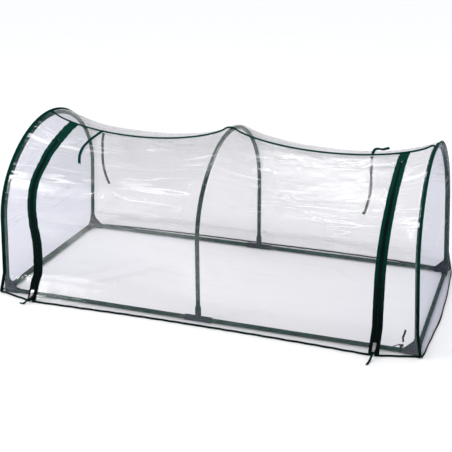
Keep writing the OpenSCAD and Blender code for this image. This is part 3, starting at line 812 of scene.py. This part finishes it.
def binding_leg(sign, side_name):
    """The half of the folded tape that lies on the film, over the hoop."""
    girths = girth_rows(1.0, BINDING_STEP)
    places = [(g, FRONT) for g in girths[::-1]] + [(g, BACK) for g in girths]
    grid = np.array([
        [film_point(sign * (edge_x(g) - inboard), g, side, FIN_IN + LEG_T / 2)
         for inboard in np.linspace(BINDING_LEG, 0.0005, 5)]
        for g, side in places])
    piece = thick_sheet(f"end_binding_{side_name}_leg", grid, LEG_T, BINDING)
    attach(piece, "frame")
    return piece


def end_binding(sign, side_name):
    """The tape's fin, which stands up round the cover's end, with a row of stitches on each face."""
    girths = girth_rows(1.0, BINDING_STEP)
    lines = []
    for off in (FIN_IN, FIN_OUT):
        front = fin_line(sign, girths[::-1], FRONT, off)
        back = fin_line(sign, girths, BACK, off)
        lines.append(front + back)
    piece = band(f"end_binding_{side_name}_tape", f"end_binding_{side_name}", *lines)
    low, high = (np.array(line) for line in lines)
    for face, step in (("outer", BAND_T / 2), ("inner", -BAND_T / 2)):
        line = low + (high - low) * 0.3
        stitches(f"end_binding_{side_name}_{face}_stitches", line, (sign * step, 0, 0))
    return piece


def seam_piping():
    """Folded tape that stands up along the top seam, with a row of stitches on each face."""
    reach = edge_x(0) - BINDING_LEG - 0.0005
    xs = even(-reach, reach, HEM_STEP)
    wobble = [0.0012 * ripple(x * 9, 2.0, 4.0) for x in xs]
    low = [film_point(x, 0, BACK, FILM_IN) for x in xs]
    high = [film_point(x, 0, BACK, PIPING_TOP) for x in xs]
    high = [(x, y + w, z) for (x, y, z), w in zip(high, wobble)]
    piece = band("top_seam_piping_tape", "top_seam_piping", low, high)
    low, high = np.array(low), np.array(high)
    line = low + (high - low) * 0.55
    stitches("top_seam_front_stitches", line, (0, -BAND_T / 2, 0))
    stitches("top_seam_back_stitches", line, (0, BAND_T / 2, 0))
    return piece


def hem_lines(points_at, places):
    """Upper and lower line of a hem band that runs on below the film's edge."""
    near, far = [], []
    for place in places:
        edge = np.array(points_at(place, HEM_GIRTH))
        above = np.array(points_at(place, HEM_GIRTH - 3))
        down = (edge - above) / np.linalg.norm(edge - above)
        near.append(edge + down * PANEL_INSET)
        far.append(edge + down * (PANEL_INSET + FIN_OUT - FIN_IN))
    return near, far


def long_hem(name, node, first, last, side, body="frame"):
    """Hem band of the front or the back, from one x to another."""
    near, far = hem_lines(lambda x, g: film_point(x, g, side, FILM_MID), even(first, last, HEM_STEP))
    piece = band(name, node, near, far, thickness=HEM_T, body=body)
    low, high = np.array(near), np.array(far)
    line = low + (high - low) * 0.35
    stitches(name + "_stitches", line, (0, side * BAND_T * 0.42, BAND_T * 0.3), body)
    return piece


hem_stop = edge_x(HEM_GIRTH) - BAND_T - 0.001
back_hem = long_hem("back_hem_tape", "back_hem", -hem_stop, hem_stop, BACK)
door_hem = long_hem("door_hem_tape", "door_hem", -door_half, door_half, FRONT, "door")
front_hems = {
    sign: long_hem(
        f"front_hem_{side_name}_tape", f"front_hem_{side_name}", sign * strip_start, sign * hem_stop, FRONT)
    for sign, side_name in SIDES}


def end_hem(sign, side_name):
    """Hem band of an end panel."""
    near, far = hem_lines(lambda c, g: end_point(sign, c, g, FILM_MID), np.linspace(-1, 1, 71))
    return band(f"end_hem_{side_name}_tape", f"end_hem_{side_name}", near, far, thickness=HEM_T)


end_hems = {sign: end_hem(sign, side_name) for sign, side_name in SIDES}
end_bindings = {
    sign: [end_binding(sign, side_name), binding_leg(sign, side_name)]
    for sign, side_name in SIDES}
piping = seam_piping()

# ---------------------------------------------------------------- zips


def mirror_about_zip(distance, part):
    """x of a line that far from the zip's centre, on the cover's or the door's side."""
    return ZIP_X + distance if part == "cover" else ZIP_X - distance


def zip_tape(sign, side_name, part):
    """Half of the tape: its inner edge runs beside the coil, and meets the other half above the stop."""
    grid = []
    for g in girth_rows(seam_angle(FRONT_GAP), 0.006):
        near = 0.0001 + (COIL_W - 0.0003) * smoothstep(g, ZIP_STOP[sign] - 3, ZIP_STOP[sign])
        grid.append([
            film_point(sign * mirror_about_zip(d, part), g, FRONT, TAPE_MID)
            for d in np.linspace(near, COIL_W + 0.00035 + TAPE_W, 7)])
    piece = thick_sheet(f"{side_name}_zip_{part}_tape_woven", np.array(grid), TAPE_T, ZIP_TAPE)
    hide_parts(f"{side_name}_zip_{part}_tape")
    return piece


def zip_coil(sign, side_name, part):
    """Half of the coil, from the stop down: its section swells with every turn, and meets the other half."""
    middle = sign * mirror_about_zip(COIL_W / 2 - 0.0001, part)
    out = sign if part == "cover" else -sign
    rings = []
    for i, g in enumerate(girth_rows(ZIP_STOP[sign], 0.0016)):
        centre = np.array(film_point(middle, g, FRONT, COIL_MID))
        lifted = np.array(film_point(middle, g, FRONT, COIL_MID + 0.001))
        up = (lifted - centre) / np.linalg.norm(lifted - centre)
        swell = 1.0 if i % 2 else 0.8
        rings.append([
            centre + np.array((out * COIL_W / 2 * math.cos(a), 0, 0)) + up * 0.0013 * swell * math.sin(a)
            for a in np.linspace(0, 2 * math.pi, 8, endpoint=False)])
    piece = swept(f"{side_name}_zip_{part}_coil_nylon", rings, COIL)
    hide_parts(f"{side_name}_zip_{part}_coil")
    return piece


def zip_stop(sign, side_name):
    """Moulded bridge over the top of the coil."""
    line = [film_point(sign * ZIP_X + d, ZIP_STOP[sign] - 0.5, FRONT, TAPE_MID + 0.0012)
            for d in np.linspace(-0.008, 0.008, 9)]
    piece = strip_along(f"{side_name}_zip_top_stop", line, (0, -0.8, -0.6), 0.008, 0.0016, COIL)
    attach(piece, "frame")


strip_trim = {LEFT: [front_hems[LEFT]], RIGHT: [front_hems[RIGHT]]}
for sign, side_name in SIDES:
    for part in ("cover", "door"):
        for piece in (zip_tape(sign, side_name, part), zip_coil(sign, side_name, part)):
            if part == "cover":
                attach(piece, "frame")
                strip_trim[sign].append(piece)
            else:
                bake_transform(piece)
    zip_stop(sign, side_name)

# ---------------------------------------------------------------- an empty loop over the two sides, which adds nothing

for sign, side_name in SIDES:
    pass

# ---------------------------------------------------------------- tie wrapped round the front rail


WRAP_TURNS = 2.25
WRAP_STEPS = 54
WRAP_START_X = 0.835
WRAP_LENGTH = 0.0055
WRAP_R = 0.0102
KNOT_CENTRE = (0.838, -0.407, 0.0255)
KNOT_R = 0.003
KNOT_STEPS = 59


def wrapped_tie():
    """Ribbon wound round the rail, ending in a small knot above it."""
    points = []
    for k in range(WRAP_STEPS + 1):
        share = k / WRAP_STEPS
        a = 2 * math.pi * WRAP_TURNS * share
        points.append((
            WRAP_START_X + WRAP_LENGTH * share,
            -HALF_WIDTH + WRAP_R * math.sin(a),
            RAIL_Z + WRAP_R * math.cos(a)))
    wrap = strip_along("corner_tie_wrap", points, ALONG_X, 0.0045, 0.0011, RIBBON)
    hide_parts("corner_tie_loop")
    knot_points = []
    x, y, z = KNOT_CENTRE
    for k in range(KNOT_STEPS + 1):
        t = 2 * math.pi * k / KNOT_STEPS
        knot_points.append((
            x + KNOT_R * (math.sin(t) + 1.6 * math.sin(2 * t)),
            y + KNOT_R * (math.cos(t) - 1.6 * math.cos(2 * t)),
            z - KNOT_R * math.sin(3 * t)))
    knot = strip_along("corner_tie_knot", knot_points, (0.3, 0.2, 1), 0.006, 0.0026, RIBBON)
    for piece in (wrap, knot):
        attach(piece, "frame")


wrapped_tie()

# ---------------------------------------------------------------- finishes of the CAD pieces that stay


def round_edges(node_object, width):
    """Small bevel on a CAD piece's sharp edges."""
    bevel = node_object.modifiers.new("edges", "BEVEL")
    bevel.width = width
    bevel.segments = 2
    bevel.limit_method = "ANGLE"
    bevel.angle_limit = math.radians(40)


def paint(node, material):
    """Give a CAD piece one material."""
    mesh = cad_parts[node].data
    mesh.materials.clear()
    mesh.materials.append(material)


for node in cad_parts:
    if "connector" in node:
        paint(node, PLASTIC)
    elif node.endswith(("_rail_left", "_rail_right", "_leg", "_arch")):
        paint(node, COAT)
    elif node.endswith(("_slider", "_zip_pull")):
        paint(node, METAL)
        round_edges(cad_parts[node], 0.0004)

# ---------------------------------------------------------------- floor and light


def add_floor():
    """Plain pale floor, far larger than the view."""
    size = 40
    corners = [(-size, -size, 0), (size, -size, 0), (size, size, 0), (-size, size, 0)]
    floor = new_piece("floor", corners, [(0, 1, 2, 3)], floor_material(), smooth=False)


def add_light(name, place, target, width, depth, power):
    """Area lamp at place that shines towards target; power is in watts."""
    lamp = bpy.data.lights.new(name, "AREA")
    lamp.shape = "RECTANGLE"
    lamp.size, lamp.size_y, lamp.energy = width, depth, power
    body = bpy.data.objects.new(name, lamp)
    aim = (Vector(target) - Vector(place)).to_track_quat("-Z", "Y")
    body.matrix_world = Matrix.Translation(place) @ aim.to_matrix().to_4x4()
    bpy.context.collection.objects.link(body)


def add_sky():
    """Even white surround, dimmer in reflections, as in a studio with a dark room behind the lights."""
    world = bpy.data.worlds.new("studio")
    world.use_nodes = True
    nodes, links = world.node_tree.nodes, world.node_tree.links
    background = nodes["Background"]
    background.inputs["Color"].default_value = (0.98, 0.985, 1.0, 1)
    rays = nodes.new("ShaderNodeLightPath")
    strength = nodes.new("ShaderNodeMapRange")
    strength.inputs["To Min"].default_value = 1.06
    strength.inputs["To Max"].default_value = 0.4
    links.new(rays.outputs["Is Glossy Ray"], strength.inputs["Value"])
    links.new(strength.outputs[0], background.inputs["Strength"])
    bpy.context.scene.world = world


add_floor()
add_sky()
add_light("overhead_strip", (-0.5, 0.2, 3.0), (0, 0, 0.5), 2.4, 0.08, 8)
add_light("front_top_strip", (0.4, -1.8, 3.2), (0.2, 0, 0.5), 2.0, 0.07, 7)
add_light("front_left_box", (-2.6, -2.6, 2.4), (0, 0, 0.4), 0.2, 1.0, 32)
bpy.context.scene.view_settings.view_transform = "Standard"
bpy.context.scene.cycles.transparent_max_bounces = 32
